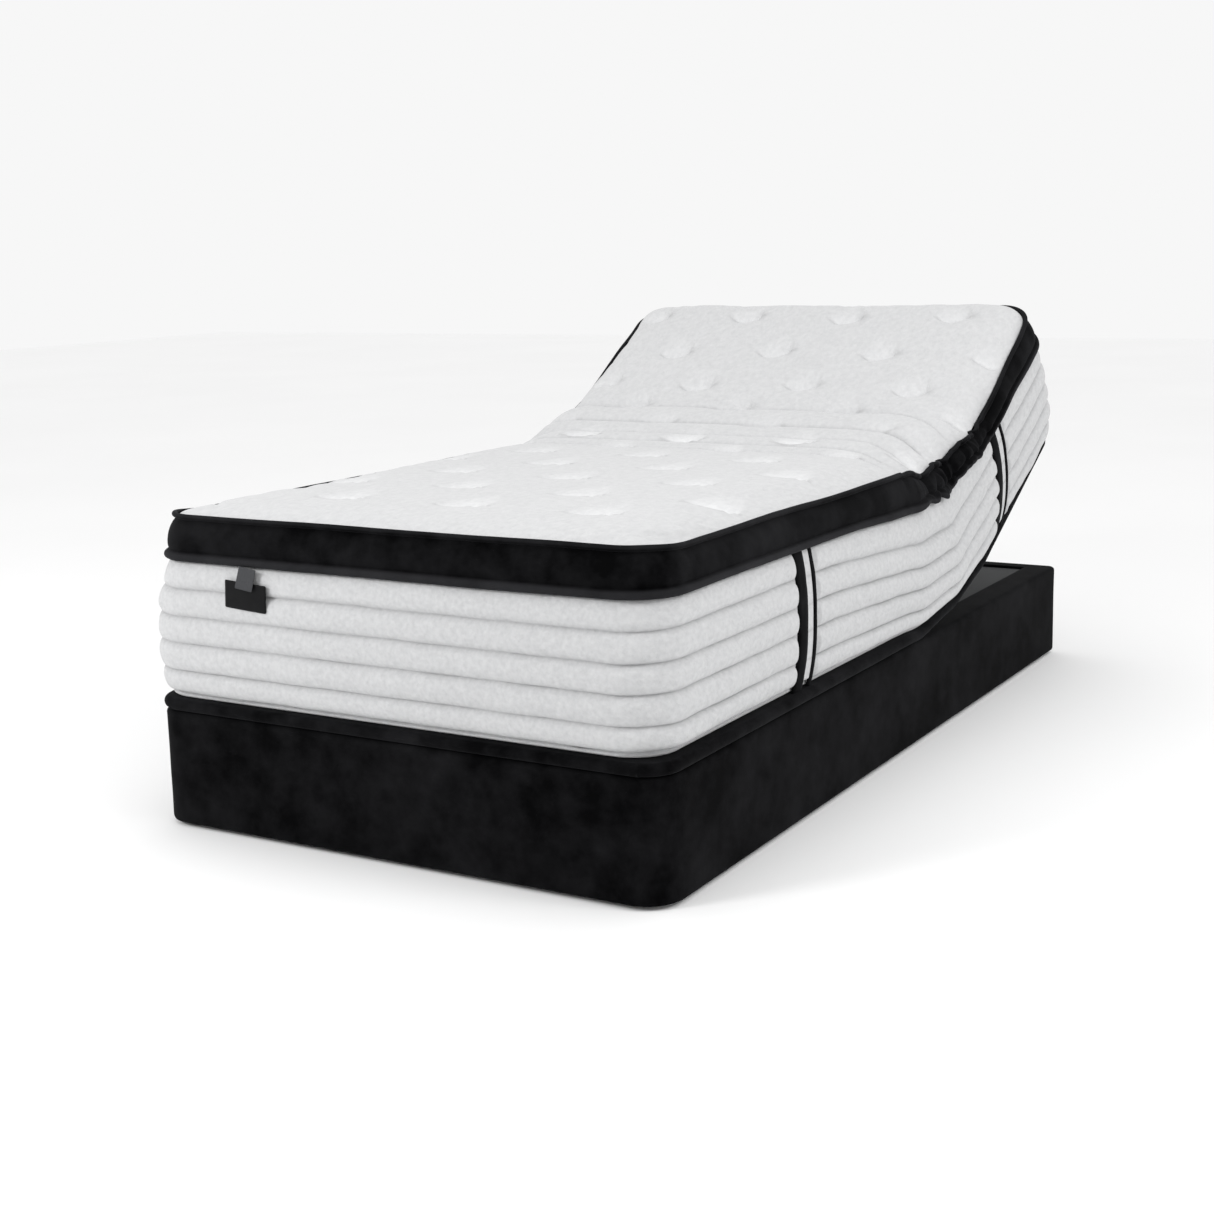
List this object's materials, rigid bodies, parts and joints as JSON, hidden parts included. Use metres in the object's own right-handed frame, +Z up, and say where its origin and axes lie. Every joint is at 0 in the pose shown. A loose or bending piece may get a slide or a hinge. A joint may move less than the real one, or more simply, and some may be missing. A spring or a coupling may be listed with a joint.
{
  "type": "adjustable bed base",
  "caption": "Electric adjustable single bed: velvet box base with folding motor-lifted deck, and its matching pillow-top mattress.",
  "frame": {"origin": "on the floor under the centre of the base", "axes": "+Y from foot to head along the bed, +Z up, +X to the right seen from the foot"},
  "size_m": [1.07, 2.03, 0.8865],
  "materials": {
    "timber": "matte",
    "plywood": "matte",
    "non_slip_cloth": "matte",
    "black_velvet": "matte",
    "white_knit": "matte",
    "glide_cap": "satin",
    "zinc_steel": "satin",
    "black_steel": "satin",
    "chrome_rod": "polished",
    "black_plastic": "matte",
    "nylon": "satin"
  },
  "bodies": {
    "root": {"side_rails": "timber", "end_rails": "timber", "corner_blocks": "timber", "plank_supports": "timber", "rim_side_boards": "timber", "rim_end_boards": "timber", "cover_planks": "non_slip_cloth", "side_skins": "black_velvet", "end_skins": "black_velvet", "glides": "glide_cap", "glide_screws": "zinc_steel", "headboard_t_nuts": "zinc_steel", "chassis_rails": "black_steel", "cross_tubes": "black_steel", "pivot_brackets": "black_steel", "motor_brackets": "black_steel", "motor_pins": "zinc_steel", "control_box": "black_plastic", "power_supply": "black_plastic", "seat_board": "plywood", "seat_cover": "black_velvet", "seat_hinges": "zinc_steel", "seat_mattress": "white_knit"},
    "lumbar_1": {"lumbar_1_board": "plywood", "lumbar_1_cover": "black_velvet", "lumbar_1_hinges": "zinc_steel", "lumbar_1_mattress": "white_knit"},
    "lumbar_2": {"lumbar_2_board": "plywood", "lumbar_2_cover": "black_velvet", "lumbar_2_hinges": "zinc_steel", "lumbar_2_mattress": "white_knit"},
    "head_section": {"head_board": "plywood", "head_cover": "black_velvet", "head_hinges": "zinc_steel", "head_tracks": "black_steel", "head_mattress": "white_knit"},
    "thigh": {"thigh_board": "plywood", "thigh_cover": "black_velvet", "thigh_hinges": "zinc_steel", "thigh_tracks": "black_steel", "thigh_mattress": "white_knit"},
    "calf": {"calf_board": "plywood", "calf_cover": "black_velvet", "calf_hinges": "zinc_steel", "calf_glides": "nylon", "calf_mattress": "white_knit"},
    "head_lift_frame": {"head_torsion_tube": "black_steel", "head_lift_arms": "black_steel", "head_roller_pins": "zinc_steel"},
    "head_roller_pair": {"head_rollers": "nylon"},
    "leg_lift_frame": {"leg_torsion_tube": "black_steel", "leg_lift_arms": "black_steel", "leg_roller_pins": "zinc_steel"},
    "leg_roller_pair": {"leg_rollers": "nylon"},
    "head_actuator": {"head_motor_gearbox": "black_plastic", "head_motor_tube": "zinc_steel"},
    "head_actuator_rod": {"head_motor_rod": "chrome_rod"},
    "leg_actuator": {"leg_motor_gearbox": "black_plastic", "leg_motor_tube": "zinc_steel"},
    "leg_actuator_rod": {"leg_motor_rod": "chrome_rod"}
  },
  "joints": [
    {"name": "head_lift", "type": "hinge", "parent": "root", "child": "lumbar_1", "pos_m": [0, 0.095, 0.229], "axis": [1, 0, 0], "range_deg": [-9, 11]},
    {"name": "lumbar_fold", "type": "hinge", "parent": "lumbar_1", "child": "lumbar_2", "pos_m": [0, 0.28266, 0.25872], "axis": [1, 0, 0], "range_deg": [-9.05, 11.05]},
    {"name": "head_fold", "type": "hinge", "parent": "lumbar_2", "child": "head_section", "pos_m": [0, 0.46336, 0.31744], "axis": [1, 0, 0], "range_deg": [-9.05, 11.05]},
    {"name": "knee_lift", "type": "hinge", "parent": "root", "child": "thigh", "pos_m": [0, -0.13, 0.229], "axis": [-1, 0, 0], "range_deg": [0, 30]},
    {"name": "knee_fold", "type": "hinge", "parent": "thigh", "child": "calf", "pos_m": [0, -0.53, 0.229], "axis": [-1, 0, 0], "range_deg": [-54.8, 0.05]},
    {"name": "head_arm_swing", "type": "hinge", "parent": "root", "child": "head_lift_frame", "pos_m": [0, 0.043, 0.15], "axis": [1, 0, 0], "range_deg": [-13.74, 16.78]},
    {"name": "head_roller_spin", "type": "hinge", "parent": "head_lift_frame", "child": "head_roller_pair", "pos_m": [0, 0.57447, 0.32648], "axis": [1, 0, 0], "continuous": true},
    {"name": "leg_arm_swing", "type": "hinge", "parent": "root", "child": "leg_lift_frame", "pos_m": [0, -0.06, 0.15], "axis": [-1, 0, 0], "range_deg": [-0.05, 19.78]},
    {"name": "leg_roller_spin", "type": "hinge", "parent": "leg_lift_frame", "child": "leg_roller_pair", "pos_m": [0, -0.33821, 0.19606], "axis": [1, 0, 0], "continuous": true},
    {"name": "head_actuator_swing", "type": "hinge", "parent": "root", "child": "head_actuator", "pos_m": [0, -0.48, 0.088], "axis": [1, 0, 0], "range_deg": [-0.3703, 0.4415]},
    {"name": "head_rod_slide", "type": "slide", "parent": "head_actuator", "child": "head_actuator_rod", "axis": [0, 0.9986, -0.0525], "range_m": [-0.02173, 0.02654]},
    {"name": "leg_actuator_swing", "type": "hinge", "parent": "root", "child": "leg_actuator", "pos_m": [0, 0.45, 0.088], "axis": [-1, 0, 0], "range_deg": [-0.05, 0.1444]},
    {"name": "leg_rod_slide", "type": "slide", "parent": "leg_actuator", "child": "leg_actuator_rod", "axis": [0, -0.9986, -0.0538], "range_m": [-0.0001, 0.03101]}
  ],
  "couplings": [
    {"joint": "lumbar_fold", "follows": "head_lift", "ratio": 1},
    {"joint": "head_fold", "follows": "head_lift", "ratio": 1},
    {"joint": "head_arm_swing", "follows": "head_lift", "ratio": 1.521},
    {"joint": "head_actuator_swing", "follows": "head_lift", "ratio": 0.035589},
    {"joint": "head_rod_slide", "follows": "head_lift", "m_per_rad": 0.13773},
    {"joint": "knee_fold", "follows": "knee_lift", "ratio": -1.825},
    {"joint": "leg_arm_swing", "follows": "knee_lift", "ratio": 0.6576},
    {"joint": "leg_actuator_swing", "follows": "knee_lift", "ratio": 0.003147},
    {"joint": "leg_rod_slide", "follows": "knee_lift", "m_per_rad": 0.059026}
  ]
}
